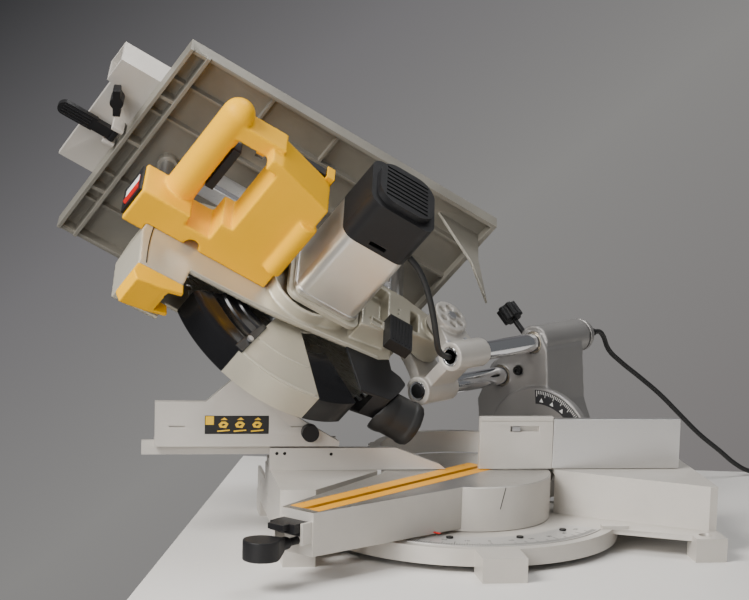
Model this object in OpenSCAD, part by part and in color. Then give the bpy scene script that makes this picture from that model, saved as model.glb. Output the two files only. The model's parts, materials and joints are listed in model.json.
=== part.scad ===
// Compound sliding mitre saw with a table on top of the head.
// Origin: middle of the bench bolt pattern, on the bench. +X to the right, +Y to the back, +Z up.

/* [Stance] */
// Turntable swung to the left, degrees
mitre_angle = 47.5; // [44:0.5:49]
// Head tilted to the left, degrees
bevel_angle = 45.4; // [42:0.2:47]
// Head raised from the cut, degrees
chop_angle = 42.9; // [38:0.1:43]

/* [Base] */
// Half the width over the feet
base_half_w = 280; // [276:1:290]
// Height of the work surface
table_h = 86.6; // [86:0.2:88]
// Outer radius of the scale skirt
skirt_r = 199; // [190:1:206]
// Radius of the turntable
disc_r = 110; // [108:0.5:111]
// Height of the right fence above the surface
fence_h = 66; // [50:1:70]

/* [Head] */
// Diameter of the saw blade
blade_d = 305; // [300:1:305]
// Outer radius of the swinging guard
guard_r = 163; // [160:0.5:163]
// Width of the upper table
top_w = 346; // [330:2:350]
// Radius of a rail
rail_r = 12.5; // [11:0.5:13]
// Radius of the mains cable
cord_r = 3.5; // [3:0.25:4]

/* [Hidden] */
$fn = 64;
fit = 0.05;
gap = 0.4;
eps = 0.01;

// turntable axis
tt_x = -25;
tt_y = 2;
deck_z = 29.5;
disc_z = 30.2;
wall = 6;

// bench bolts
bolt_x = 258;
bolt_y = 135;
bolt_r = 4.5;
foot_w = 40;
foot_h = 30;

// fence
arch_ri = 112;
arch_ro = 122;
low_h = 29;
low_t = 10;
bar_t = 8;

// yoke and rails, in the tilted frame
flange_y = 164;
flange_r = 88;
rail_x = [16, 88];
rail_z = 119;
rail_y0 = -12;
rail_y1 = 280;
yoke_y = 178;
boss_r = 19;
boss_y1 = 54;

// chop pivot: in the tilted frame, and in the head's own frame
pivot_y = 33;
pivot_z = 174.5;
hub_y = -94.6;
hub_z = 150.3;
pivot_r = 9;

// arbor and motor, in the head's own frame
arbor_y = -290;
arbor_z = 113;
arbor_r = 8;
motor_y = -266;
motor_z = 126;
motor_s = 92;
casing_x = 34;
cavity_x = 28;
guard_x = 20;
// where the swinging guard's three pieces start and end
guard_a = [-62, -72, -115, -150];
boss_x = 14;

// upper table
top_x = 5;
top_y0 = -560;
top_y1 = -78;
top_z = 292;
top_t = 5;
top_rim = 20;
cam_z = 278;

// mains cable: points on the bench side, from the rear cap down to the coil
coil_r = 38;
coil_x = 563;
coil_y = 425;
coil_w = 21;
coil_h = 21;

module at_table() { translate([tt_x, tt_y, 0]) rotate([0, 0, -mitre_angle]) children(); }
module at_yoke() { at_table() translate([0, 0, table_h]) rotate([0, -bevel_angle, 0]) children(); }
module at_head() {
  at_yoke() translate([0, pivot_y, pivot_z]) rotate([-chop_angle, 0, 0])
    translate([0, -hub_y, -hub_z]) children();
}
// a box from its two corners
module span(a, b) { translate(a) cube(b - a); }
// cylinders along X and Y, from one end to the other
module rod_x(x0, x1, y, z, r) { translate([x0, y, z]) rotate([0, 90, 0]) cylinder(h = x1 - x0, r = r); }
module rod_y(y0, y1, x, z, r) { translate([x, y0, z]) rotate([-90, 0, 0]) cylinder(h = y1 - y0, r = r); }
module rod_z(z0, z1, x, y, r) { translate([x, y, z0]) cylinder(h = z1 - z0, r = r); }
// a Y-Z outline extruded along X
module side_cut(x0, x1) { translate([x0, 0, 0]) rotate([90, 0, 90]) linear_extrude(x1 - x0) children(); }
// an X-Z outline extruded along Y
module front_cut(y0, y1) { translate([0, y1, 0]) rotate([90, 0, 0]) linear_extrude(y1 - y0) children(); }
// a rectangle with round corners, exact
module round_rect(w, h, r) {
  square([w - 2 * r, h], center = true);
  square([w, h - 2 * r], center = true);
  for (x = [-1, 1], y = [-1, 1])
    translate([x * (w / 2 - r), y * (h / 2 - r)]) circle(r);
}
// a wedge seen along an axis: angles clockwise from straight up
module wedge(r, a0, a1) {
  steps = 8;
  polygon(concat([[0, 0]],
    [for (i = [0:steps]) let (a = a0 + (a1 - a0) * i / steps) [r * sin(a), r * cos(a)]]));
}

/* ---- base ---- */
left_wing = [[-279, -115], [-236, -115], [-142, -5], [-142, 62], [-279, 62]];
right_wing = [[92, -5], [269, -112], [279, -112], [279, 62], [92, 62]];
module wing(outline) {
  translate([0, 0, table_h - wall]) linear_extrude(wall) polygon(outline);
}
module deck_outline() {
  difference() {
    union() {
      translate([tt_x, tt_y]) circle(skirt_r);
      translate([-base_half_w, -95]) square([2 * base_half_w, 245]);
      polygon([[150, -95], [base_half_w, -155], [base_half_w, -90]]);
      polygon([[-190, -95], [-base_half_w, -155], [-base_half_w, -90]]);
    }
    translate([tt_x - 205, tt_y + 60]) square([410, 300]);
    translate([tt_x, tt_y]) circle(70);
  }
}
module foot(x, y, w, d) { translate([x - w / 2, y - d / 2, 0]) cube([w, d, foot_h]); }
// room behind the wings for the swinging neck and flange
module swing_room() translate([tt_x, 0, 0]) for (s = [0, 1]) mirror([s, 0, 0])
  linear_extrude(200) polygon([[95, 30], [175, 30], [237, 75], [237, 300], [95, 300]]);
module base_casting() color([0.72, 0.70, 0.66]) difference() {
  union() {
    difference() {
      union() { wing(left_wing); wing(right_wing); }
      rod_z(table_h - 10, table_h + 1, tt_x, tt_y, disc_r + 0.8);
    }
    // deck and skirt
    translate([0, 0, deck_z - 7]) linear_extrude(7) deck_outline();
    difference() {
      rod_z(8, deck_z, tt_x, tt_y, skirt_r);
      rod_z(7, deck_z + 1, tt_x, tt_y, skirt_r - wall);
      span([-400, -20, 0], [400, 400, 60]);
    }
    // outer walls and slanted front walls
    for (s = [-1, 1]) {
      x0 = s * (base_half_w - 4);
      span([min(x0, x0 + s * 3) - 1, -112, deck_z - 8], [max(x0, x0 + s * 3), 62, table_h]);
      span([min(x0, x0 + s * 3) - 1, 62, deck_z - 8], [max(x0, x0 + s * 3), 150, 62]);
    }
    translate([0, 0, deck_z - 1]) linear_extrude(table_h - deck_z + 1 - wall + 1) {
      polygon([[92, -5], [269, -112], [279, -112], [279, -105], [271, -105], [96, 2]]);
      polygon([[-279, -115], [-236, -115], [-142, -5], [-146, 1], [-239, -108], [-279, -108]]);
      polygon([[92, 56], [279, 56], [279, 62], [92, 62]]);
      polygon([[-279, 56], [-142, 56], [-142, 62], [-279, 62]]);
    }
    span([134, -98, deck_z - 1], [168, -86, deck_z + 4]);
    // rear cross beam under the turntable
    difference() {
      rod_z(8, deck_z - 1, tt_x, tt_y, 84);
      rod_z(7, deck_z, tt_x, tt_y, 76);
    }
    // spider and pivot post
    for (a = [0:60:300])
      translate([tt_x, tt_y, 10]) rotate([0, 0, a]) translate([8, -3, 0]) cube([72, 6, 18]);
    rod_z(8, deck_z, tt_x, tt_y, 20);
    rod_z(deck_z - 1, 70, tt_x, tt_y, 14);
    // feet
    for (x = [-1, 1], y = [-1, 1]) foot(x * (base_half_w - foot_w / 2), y * 137, foot_w, foot_w);
    foot(tt_x + 2, -220, 55, 50);
  }
  for (x = [-1, 1], y = [-1, 1]) {
    rod_z(-1, foot_h + 2, x * bolt_x, y * bolt_y, bolt_r);
    rod_z(22, foot_h + 60, x * bolt_x, y * bolt_y, 9);
  }
  translate([0, 0, deck_z + 1]) swing_room();
  // bore of the central bolt
  rod_z(0, 71, tt_x, tt_y, 5);
  // side bores for extension bars
  for (s = [-1, 1], y = [30, 110]) rod_x(s * 282 - 8, s * 282 + 8, y, 46, 5.25);
  // light slots under the scale
  for (a = [-8, 14])
    translate([tt_x, tt_y, deck_z - 8]) rotate([0, 0, a]) translate([-14, -172, 0]) cube([28, 14, 9]);
}
module scale_ring(r0, r1) {
  difference() {
    circle(r1);
    circle(r0);
    rotate(180) wedge(2 * r1, 57, 303);
  }
}
module mitre_scale() color([0.80, 0.80, 0.78]) translate([tt_x, tt_y, deck_z]) difference() {
  linear_extrude(1.2) scale_ring(140, 186);
  for (a = [-48, -18, 16, 44]) rotate([0, 0, a]) translate([0, -151, -1]) cylinder(h = 4, r = 2.5);
}

/* ---- fence ---- */
module fence_casting() color([0.74, 0.72, 0.69]) difference() {
  union() {
    // low left fence with its slanted inner end
    front_cut(0, low_t) polygon([[-281, table_h + eps], [-52, table_h + 0.8], [-60, table_h + 7],
      [-118, table_h + low_h], [-281, table_h + low_h]]);
    span([-279, low_t - 1, table_h + eps], [-145, 56, table_h + 9]);
    span([95, 12, table_h + eps], [262, 56, table_h + 9]);
    span([95, 12, table_h + eps], [258, 20, table_h + 40]);
    for (x = [110, 175, 245]) span([x, 19, table_h + 8], [x + 6, 54, table_h + 34]);
    // the bridge behind the blade
    intersection() {
      difference() {
        rod_z(table_h + 0.8, table_h + low_h, tt_x, tt_y, arch_ro);
        rod_z(table_h, table_h + 60, tt_x, tt_y, arch_ri);
      }
      union() {
        span([-200, low_t - 1, 0], [tt_x, 200, 200]);
        span([tt_x - 1, 12, 0], [200, 200, 200]);
      }
    }
    span([-150, low_t - 1, table_h + 0.8], [-135, 40, table_h + low_h]);
    span([84, 12, table_h + 0.8], [98, 40, table_h + low_h]);
  }
  difference() {
    swing_room();
    rod_z(0, 300, tt_x, tt_y, arch_ro + 4);
  }
  // groove for the bar of the sliding fence
  span([-300, low_t + 0.01, table_h + 18], [-150, low_t + bar_t + 3, table_h + 60]);
  rod_y(-1, low_t + 1, -272, table_h + 22, 2.2);
  rod_y(-1, low_t + 1, -262, table_h + 22, 2.2);
  rod_y(-1, low_t + 1, -202, table_h + 21, 2.2);
}
module base_screws() color([0.12, 0.12, 0.12]) {
  for (p = [[-272, 22], [-262, 22], [-202, 21]]) rod_y(1, low_t, p[0], table_h + p[1], 2.2);
  for (a = [-48, -18, 16, 44])
    translate([tt_x, tt_y, deck_z]) rotate([0, 0, a]) translate([0, -151, 1.2]) cylinder(h = 2.4, r = 4.5);
}
module right_fence() color([0.86, 0.86, 0.86]) difference() {
  union() {
    span([89.5, 0, table_h + 0.8], [260, 11.8, table_h + fence_h]);
    span([91, 11, table_h + 42], [258, 18, table_h + 52]);
  }
  span([100, 8, table_h + 6], [250, 13, table_h + 30]);
}
module right_fence_end() color([0.80, 0.79, 0.77]) difference() {
  union() {
    span([-8, 0, table_h + 0.8], [89, 10, table_h + fence_h + 3]);
    span([68, 9, table_h + 6], [80, 30, table_h + 40]);
  }
  span([32, -1, table_h + 50], [70, 5, table_h + 57]);
  span([-9, -1, table_h + fence_h - 3], [90, 1, table_h + fence_h - 2]);
}
module fence_stop() color([0.55, 0.54, 0.50])
  span([34, -1, table_h + 50.4], [45, 4.6, table_h + 56.6]);
module sliding_fence() color([0.74, 0.72, 0.69]) difference() {
  union() {
    front_cut(0, low_t) polygon([[-428, 118], [-428, 176], [-363, 176], [-332, 203], [-322, 203],
      [-270, 169], [-192, 124], [-192, 118]]);
    span([-444, low_t + gap, 106], [-195, low_t + bar_t, 124]);
    span([-428, low_t - 1, 118.4], [-195, low_t + bar_t, 128]);
    for (x = [-415, -340, -285, -235]) span([x, low_t - 1, 124], [x + 5, low_t + bar_t, 146]);
  }
  for (x = [-410, -255]) span([x, -1, 143], [x + 20, 3, 145]);
  rod_y(-1, 40, -231, 137, 4.05);
  span([-365, -1, 134], [-283, 0.8, 158]);
}
module fence_label() color([0.1, 0.1, 0.1]) span([-364.8, 0.1, 134.2], [-283.2, 0.8, 157.8]);
module fence_knob() color([0.1, 0.1, 0.1]) {
  rod_y(-15, -0.3, -231, 137, 11);
  rod_y(-4, 17, -231, 137, 4);
}

/* ---- turntable ---- */
arm = [[-62, -92], [62, -92], [25, -335], [-25, -335]];
arm_in = [[-56, -92], [56, -92], [19, -329], [-19, -329]];
kerf_y0 = -322;
kerf_y1 = 38;
module turntable() color([0.70, 0.68, 0.65]) at_table() difference() {
  union() {
    difference() {
      rod_z(disc_z, table_h, 0, 0, disc_r);
      rod_z(disc_z - 1, table_h - 8, 0, 0, disc_r - wall);
    }
    difference() {
      translate([0, 0, 34]) linear_extrude(table_h - 34) polygon(arm);
      translate([0, 0, 33]) linear_extrude(table_h - 8 - 33) polygon(arm_in);
    }
    rod_z(disc_z, table_h - 1, 0, 0, 24);
    for (a = [30:60:330]) rotate([0, 0, a]) translate([20, -3, 40]) cube([86, 6, 44]);
    // ears and pin of the latch
    for (s = [-1, 1]) span([s * 21.5 - 2, -352, 50], [s * 21.5 + 2, -334, 76]);
    rod_x(-20, 20, -345, 64, 3 - fit);
    // neck and bevel hub
    span([-40, 100, 34], [40, 150, 76]);
    rod_y(138, flange_y - gap, 0, table_h, 50);
  }
  rod_z(disc_z - 1, 71, 0, 0, 14 + fit);
  rod_z(69, table_h - 6, 0, 0, 10);
  // bore of the bevel bolt
  rod_y(130, flange_y + 1, 0, table_h, 10);
  rod_y(130, 139, 0, table_h, 17);
  // pocket for the kerf plates and the slot under them
  span([-23, kerf_y0, table_h - 3], [23, kerf_y1, table_h + 1]);
  span([-15, -305, 44], [20, -50, table_h + 1]);
  span([-15, -60, 70.5], [20, 30, table_h + 1]);
  span([-25, -100, 60], [25, -85, table_h - 9]);
  // rod of the mitre knob
  rod_y(-340, -320, 0, 50, 5);
  // machined step round the top
  difference() {
    rod_z(table_h - 1, table_h + 1, 0, 0, disc_r + 1);
    rod_z(table_h - 2, table_h + 2, 0, 0, disc_r - 1);
    span([-62, -130, table_h - 3], [62, -80, table_h + 3]);
  }
}
module kerf_plates() color([0.93, 0.68, 0.15]) at_table() {
  difference() {
    span([-22.8, kerf_y0 + 0.2, table_h - 3], [-3, kerf_y1 - 0.2, table_h]);
    for (y = [-300, -180, -60, 20]) rod_z(table_h - 4, table_h + 1, -18, y, 2);
  }
  difference() {
    span([6.2, kerf_y0 + 0.2, table_h - 3], [22.8, kerf_y1 - 0.2, table_h]);
    for (y = [-300, -180, -60, 20]) rod_z(table_h - 4, table_h + 1, 21, y, 1.5);
  }
}
module kerf_screws() color([0.6, 0.6, 0.6]) at_table() for (y = [-300, -180, -60, 20])
  rod_z(table_h - 3, table_h - 0.6, -18, y, 2);
module mitre_pointer() color([0.75, 0.1, 0.1]) at_table() difference() {
  translate([58, -138, 36]) cube([14, 3, 1.5], center = true);
  translate([0, 0, 34]) linear_extrude(10) polygon(arm);
}
module mitre_latch() color([0.09, 0.09, 0.09]) at_table() difference() {
  union() {
    span([-19, -362, 64.5], [19, -337, 76]);
    rod_x(-19, 19, -345, 64, 5.5);
    span([-12, -374, 69], [12, -361, 76]);
  }
  rod_x(-20, 20, -345, 64, 3);
}
module mitre_knob() color([0.09, 0.09, 0.09]) at_table() {
  hull() {
    translate([0, -398, 38]) cylinder(h = 24, r = 22, $fn = 32);
    translate([0, -370, 42]) cylinder(h = 16, r = 9, $fn = 32);
  }
  rod_y(-372, -352.5, 0, 50, 8);
  rod_y(-354, -318, 0, 50, 5 - fit);
}

/* ---- yoke and rails ---- */
module bevel_bolt() color([0.6, 0.6, 0.62]) at_table() {
  rod_y(139, 216, 0, table_h, 10);
  rod_y(132, 139, 0, table_h, 16);
  rod_y(216, 224, 0, table_h, 15);
}
module yoke() color([0.60, 0.59, 0.57]) at_yoke() difference() {
  union() {
    intersection() {
      rod_y(flange_y, flange_y + 12, 0, 0, flange_r);
      front_cut(flange_y - 1, flange_y + 20) rotate(0) wedge(140, -64, 104);
    }
    rod_y(flange_y, 208, 0, 0, 36);
    front_cut(flange_y + 10, 262) polygon([[-50, 10], [-54, 98], [-36, 120], [16, 138], [88, 138], [106, 119],
      [100, 96], [52, 40], [40, 10]]);
    for (x = rail_x) rod_y(yoke_y, rail_y1 + 4, x, rail_z, 23);
    translate([52, 232, 120]) cylinder(h = 30, r = 13);
  }
  for (x = rail_x) rod_y(yoke_y - 5, rail_y1 + 6, x, rail_z, rail_r + 2);
  rod_y(flange_y - 5, 220, 0, 0, 10 + fit);
  rod_y(208, 300, 0, 0, 20);
  span([-44, 190, 26], [30, 270, 92]);
  rod_y(flange_y + 5, flange_y + 20, 45, 105, 6);
  translate([52, 232, 130]) cylinder(h = 30, r = 4 + fit);
}
module bevel_scale() color([0.14, 0.14, 0.15]) at_yoke() intersection() {
  difference() {
    rod_y(flange_y - 0.3, flange_y, 0, 0, flange_r - 3);
    rod_y(flange_y - 2, flange_y + 2, 0, 0, flange_r - 22);
  }
  front_cut(flange_y - 2, flange_y + 2) wedge(140, 40, 96);
}
module yoke_screw() color([0.1, 0.1, 0.1]) at_yoke() difference() {
  rod_y(flange_y + 5, flange_y + 15, 45, 105, 6);
  rod_y(flange_y + 4, flange_y + 8, 45, 105, 3);
}
module rails() color([0.85, 0.86, 0.88]) at_yoke() for (x = rail_x) difference() {
  rod_y(rail_y0, rail_y1, x, rail_z, rail_r);
  rod_y(rail_y0 - 1, rail_y1 + 1, x, rail_z, rail_r - 3);
}
module rail_caps() color([0.60, 0.59, 0.57]) at_yoke() difference() {
  for (x = rail_x) {
    intersection() {
      translate([x, rail_y1 + 7, rail_z]) sphere(r = 23);
      span([x - 24, rail_y1 + 7, rail_z - 24], [x + 24, 400, rail_z + 24]);
    }
    rod_y(rail_y1, rail_y1 + 8, x, rail_z, rail_r - 1);
  }
  rod_y(rail_y1 - 1, 400, rail_x[1], rail_z, 5);
}
module rail_knob() color([0.08, 0.08, 0.08]) at_yoke() translate([52, 232, 0]) {
  translate([0, 0, 131]) cylinder(h = 55, r = 4);
  difference() {
    translate([0, 0, 183]) cylinder(h = 22, r = 15);
    for (a = [0:60:300]) rotate([0, 0, a]) translate([18, 0, 181]) cylinder(h = 30, r = 6);
  }
}
module bevel_lever() color([0.09, 0.09, 0.09]) at_table() {
  rod_y(224.4, 240, 0, table_h, 14);
  span([-7, 228, table_h - 70], [7, 240, table_h]);
}
module carriage() color([0.78, 0.77, 0.75]) at_yoke() difference() {
  union() {
    for (x = rail_x) rod_y(rail_y0, boss_y1, x, rail_z, boss_r);
    span([rail_x[0], rail_y0 + 6, rail_z - 7], [rail_x[1], boss_y1 - 6, rail_z + 9]);
    for (x = [[8, 25], [73, 90]]) {
      side_cut(x[0], x[1]) polygon([[-10, rail_z], [52, rail_z], [54, 160], [pivot_y + 20, pivot_z + 8],
        [pivot_y - 20, pivot_z + 8], [4, 150]]);
      rod_x(x[0], x[1], pivot_y, pivot_z, 23);
    }
    rod_x(90, 98, pivot_y, pivot_z, 25);
  }
  for (x = rail_x) rod_y(rail_y0 - 1, boss_y1 + 1, x, rail_z, rail_r);
  rod_x(0, 94, pivot_y, pivot_z, pivot_r);
  // clearance for the blade at the bottom of the stroke
  rod_x(-6, 6, pivot_y - 197.1, pivot_z - 27, blade_d / 2 + 3);
  // spokes of the webbed hub
  for (a = [0:60:300]) translate([93, pivot_y, pivot_z]) rotate([a, 0, 0]) translate([0, 15, 0])
    rotate([0, 90, 0]) cylinder(h = 8, r = 5);
}
module rail_bushes() color([0.75, 0.62, 0.30]) at_yoke()
  for (x = rail_x, y = [yoke_y, rail_y1 - 16]) difference() {
  rod_y(y, y + 20, x, rail_z, rail_r + 2);
  rod_y(y - 1, y + 21, x, rail_z, rail_r + fit);
}
module pivot_shaft() color([0.55, 0.55, 0.57]) at_yoke() {
  rod_x(8, 94, pivot_y, pivot_z, pivot_r);
  rod_x(3, 8, pivot_y, pivot_z, 13);
}
module chop_spring() color([0.2, 0.2, 0.2]) at_head() translate([64, hub_y, hub_z]) rotate([0, 90, 0])
  rotate_extrude() translate([13, 0]) square([3, 7]);

/* ---- head ---- */
casing = [[-516, 10], [-519, 75], [-506, 130], [-472, 180], [-410, 204], [-150, 204], [-124, 176],
  [-128, 128], [-145, 116], [-146, 88], [-163, 76], [-334, 49], [-446, 45], [-452, 12]];
casing_in = [[-510, 2], [-513, 74], [-500, 127], [-467, 174], [-404, 212], [-152, 212], [-130, 176],
  [-134, 134], [-110, 124], [-110, 60], [-334, 20], [-440, 20], [-446, -8]];
module head_casting() color([0.80, 0.78, 0.73]) at_head() difference() {
  union() {
    difference() {
      side_cut(-casing_x, casing_x) polygon(casing);
      side_cut(-cavity_x, cavity_x) polygon(casing_in);
    }
    // guard boss and gear case
    rod_x(boss_x, cavity_x + 1, arbor_y, arbor_z, 38);
    rod_x(casing_x - 1, 52, arbor_y, arbor_z, 50);
    rod_x(casing_x - 1, 52, motor_y, motor_z, 52);
    // stiff arm back to the pivot
    side_cut(casing_x - 1, 64) polygon([[-212, 84], [-212, 186], [-150, 186], [hub_y + 6, hub_z + 22],
      [hub_y + 6, hub_z - 22], [-146, 118], [-160, 96]]);
    rod_x(27, 70, hub_y, hub_z, 23);
    // boss of the front post
    rod_z(100, 184, 0, -488, 15);
    span([-casing_x + 2, -492, 100], [casing_x - 2, -484, 180]);
  }
  // gear space
  rod_x(36, 60, arbor_y, arbor_z, 45);
  rod_x(36, 60, motor_y, motor_z, 40);
  rod_x(boss_x - 1, 40, arbor_y, arbor_z, 17);
  // arm pockets
  span([46, -206, 104], [66, -172, 178]);
  span([46, -136, 128], [66, -124, 166]);
  rod_x(26, 71, hub_y, hub_z, pivot_r + fit);
  rod_x(64, 71, hub_y, hub_z, 16.5);
  // post bores
  rod_z(90, 200, 0, -488, 9 + fit);
  rod_z(80, 200, 54, -154, 9 + fit);
  // access to the arbor bolt
  rod_x(-casing_x - 1, -cavity_x + 1, arbor_y, arbor_z, 22);
}
module nose_insert() color([0.93, 0.70, 0.08]) at_head() difference() {
  side_cut(-10, casing_x)
    polygon([[-516, 9.9], [-452, 11.9], [-450, -4], [-478, -14], [-514, -22], [-521, -8]]);
  side_cut(-5, cavity_x) polygon([[-508, 20], [-440, 20], [-440, -20], [-478, -7], [-506, -14]]);
}
module gear_cover() color([0.84, 0.83, 0.80]) at_head() difference() {
  translate([52, motor_y, motor_z]) rotate([90, 0, 90]) linear_extrude(6)
    round_rect(motor_s + 14, motor_s + 14, 16);
  rod_x(50, 60, motor_y, motor_z, 18);
  rod_x(50, 56, arbor_y, arbor_z, 13);
}
module motor_block(x0, x1, s, r) {
  translate([x0, motor_y, motor_z]) rotate([90, 0, 90]) linear_extrude(x1 - x0) round_rect(s, s, r);
}
module motor_housing() color([0.83, 0.83, 0.82]) at_head() difference() {
  motor_block(58, 170, motor_s, 16);
  rod_x(57, 171, motor_y, motor_z, 40);
}
module motor_cap() color([0.09, 0.09, 0.09]) at_head() difference() {
  union() {
    motor_block(170, 232, motor_s + 2, 18);
    motor_block(232, 243, motor_s - 12, 26);
  }
  motor_block(169, 226, motor_s - 8, 14);
  // louvres in the end
  for (z = [-28:8:28]) span([224, motor_y - 30, motor_z + z - 1.6], [246, motor_y + 30, motor_z + z + 1.6]);
  // louvres underneath
  span([176, motor_y - 12, motor_z - 50], [182, motor_y + 12, motor_z - 30]);
}
module stator() color([0.45, 0.35, 0.25]) at_head() difference() {
  rod_x(75, 150, motor_y, motor_z, 39.9);
  rod_x(74, 151, motor_y, motor_z, 25);
}
module rotor() color([0.5, 0.42, 0.35]) at_head() {
  rod_x(78, 148, motor_y, motor_z, 23.5);
  rod_x(40, 212, motor_y, motor_z, 5);
  rod_x(190, 202, motor_y, motor_z, 34);
  rod_x(38, 50, motor_y, motor_z, 6.6);
}
module bearings() color([0.66, 0.66, 0.68]) at_head() {
  for (b = [[52, 17.95], [156, 16]]) difference() {
    rod_x(b[0], b[0] + 10, motor_y, motor_z, b[1]);
    rod_x(b[0] - 1, b[0] + 11, motor_y, motor_z, 5 + fit);
  }
  difference() {
    rod_x(15, 30, arbor_y, arbor_z, 17);
    rod_x(14, 31, arbor_y, arbor_z, arbor_r + fit);
  }
  difference() {
    rod_x(156, 164, motor_y, motor_z, 39.9);
    rod_x(155, 165, motor_y, motor_z, 16);
  }
}
module arbor() color([0.5, 0.5, 0.52]) at_head() {
  rod_x(-4, 50, arbor_y, arbor_z, arbor_r);
  difference() {
    rod_x(38, 50, arbor_y, arbor_z, 20.2);
    rod_x(37, 51, arbor_y, arbor_z, arbor_r - 1);
  }
}
module blade() color([0.78, 0.79, 0.80]) at_head() difference() {
  union() {
    rod_x(-0.9, 0.9, arbor_y, arbor_z, blade_d / 2 - 7);
    for (a = [0:6:354]) translate([-1.5, arbor_y, arbor_z]) rotate([a, 0, 0])
      translate([0, blade_d / 2 - 9, -2]) cube([3, 8.9, 6]);
  }
  rod_x(-3, 3, arbor_y, arbor_z, arbor_r + fit);
}
module blade_flanges() color([0.4, 0.4, 0.42]) at_head() {
  for (x = [[0.9, 8], [-8, -0.9]]) difference() {
    rod_x(x[0], x[1], arbor_y, arbor_z, 24);
    rod_x(x[0] - 1, x[1] + 1, arbor_y, arbor_z, arbor_r + fit);
  }
  difference() {
    rod_x(-14, -8, arbor_y, arbor_z, 11);
    rod_x(-15, -11, arbor_y, arbor_z, 4, $fn = 6);
  }
}
// part of the swinging guard between two angles, measured from straight back (+Y) towards the top
module guard_shell(x, r0, r1, a0, a1) {
  intersection() {
    difference() {
      rod_x(-x, x, arbor_y, arbor_z, guard_r);
      rod_x(-x + 3, x - 3, arbor_y, arbor_z, guard_r - 4);
      rod_x(-x - 1, -x + 4, arbor_y, arbor_z, r0);
      rod_x(x - 4, x + 1, arbor_y, arbor_z, r1);
    }
    side_cut(-x - 2, x + 2) translate([arbor_y, arbor_z]) rotate(0) wedge(300, 90 - a0, 90 - a1);
  }
}
module lower_guard() color([0.82, 0.80, 0.72]) at_head() union() {
  guard_shell(guard_x, 70, 70, guard_a[1], guard_a[2]);
  difference() {
    union() {
      rod_x(guard_x - 3, guard_x, arbor_y, arbor_z, 50);
      side_cut(guard_x - 3, guard_x) translate([arbor_y, arbor_z])
        wedge(80, 90 - guard_a[1], 90 - guard_a[2]);
    }
    rod_x(guard_x - 5, guard_x + 2, arbor_y, arbor_z, 38 + fit);
  }
}
// black front and rear ends of the swinging guard
module guard_ends() color([0.08, 0.08, 0.08]) at_head() difference() {
  union() {
    guard_shell(guard_x, 84, 84, guard_a[2] - 0.2, guard_a[3]);
    guard_shell(guard_x, 84, 84, guard_a[0], guard_a[1] + 0.2);
  }
  for (r = [118, 134]) difference() {
    rod_x(guard_x - 1, guard_x + 1, arbor_y, arbor_z, r + 5);
    rod_x(guard_x - 2, guard_x + 2, arbor_y, arbor_z, r);
  }
}
module chip_chute() color([0.08, 0.08, 0.08]) at_head() difference() {
  intersection() {
    side_cut(-7, 32) polygon([[-212, 68], [-163, 75.8], [-146.4, 87.6], [-142, 70], [-128, 66],
      [-120, 58], [-120, 16], [-186, 0]]);
    rod_x(-33, 33, arbor_y, arbor_z, guard_r + 17);
  }
  rod_x(-4, 28, arbor_y, arbor_z, guard_r + 1.5);
}
module dust_spout() color([0.07, 0.07, 0.07]) at_head() difference() {
  union() {
    rod_y(-150, -84, -2, 31, 28);
    rod_y(-96, -88, -2, 31, 29.5);
    translate([-2, -132, 31]) sphere(r = 30);
  }
  rod_y(-160, -80, -2, 31, 24);
  rod_x(-60, 60, arbor_y, arbor_z, 180.2);
}
module spring_box() color([0.08, 0.08, 0.08]) at_head() span([64, -178, 60], [80, -143, 112]);

/* ---- handle ---- */
module handle() color([0.95, 0.71, 0.05]) at_head() difference() {
  union() {
    translate([0, 0, 88]) linear_extrude(62)
      polygon([[34, -505], [34, -342], [182, -342], [206, -424], [206, -440], [60, -440], [60, -505]]);
    // grip
    rod_x(72, 212, -497, 132, 21);
    translate([212, -497, 132]) sphere(r = 21);
    span([190, -497, 113], [212, -424, 150]);
    // switch housing
    span([22, -545, 88], [76, -476, 146]);
    // long bulge beside the motor
    rod_x(64, 150, -350, 90, 13);
  }
  // seat on the casing
  side_cut(-casing_x - 1, casing_x) polygon(casing);
  // hand opening
  span([88, -476, 60], [190, -424, 200]);
  span([30, -546, 99], [68, -515, 137]);
  // trigger slot
  span([103.7, -484, 120.7], [172.3, -475, 141.3]);
  // half-round notch
  rod_z(80, 110, 36, -452, 10);
  // hollow inside
  span([46, -415, 94], [170, -345, 144]);
}
module trigger() color([0.07, 0.07, 0.07]) at_head()
  span([104, -477.5, 121], [172, -466, 141]);
module rocker_frame() color([0.08, 0.08, 0.08]) at_head() difference() {
  span([26, -549, 94], [72, -545, 142]);
  span([32, -550, 102], [66, -544, 134]);
}
module rocker() color([0.8, 0.12, 0.10]) at_head() intersection() {
  union() {
    span([32.6, -549, 104], [65.4, -541, 132]);
    side_cut(32.6, 65.4) polygon([[-549, 104], [-553, 104], [-549, 118]]);
  }
  side_cut(20, 80) translate([-541, 118]) circle(15);
}
module push_stick() color([0.07, 0.07, 0.07]) at_head() {
  span([170, -470, 154], [186, -338, 168]);
  translate([178, -488, 166]) sphere(r = 11);
  rod_y(-488, -470, 178, 163, 7);
  for (y = [-446, -350]) span([172, y, 150], [184, y + 8, 154]);
}

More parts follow.
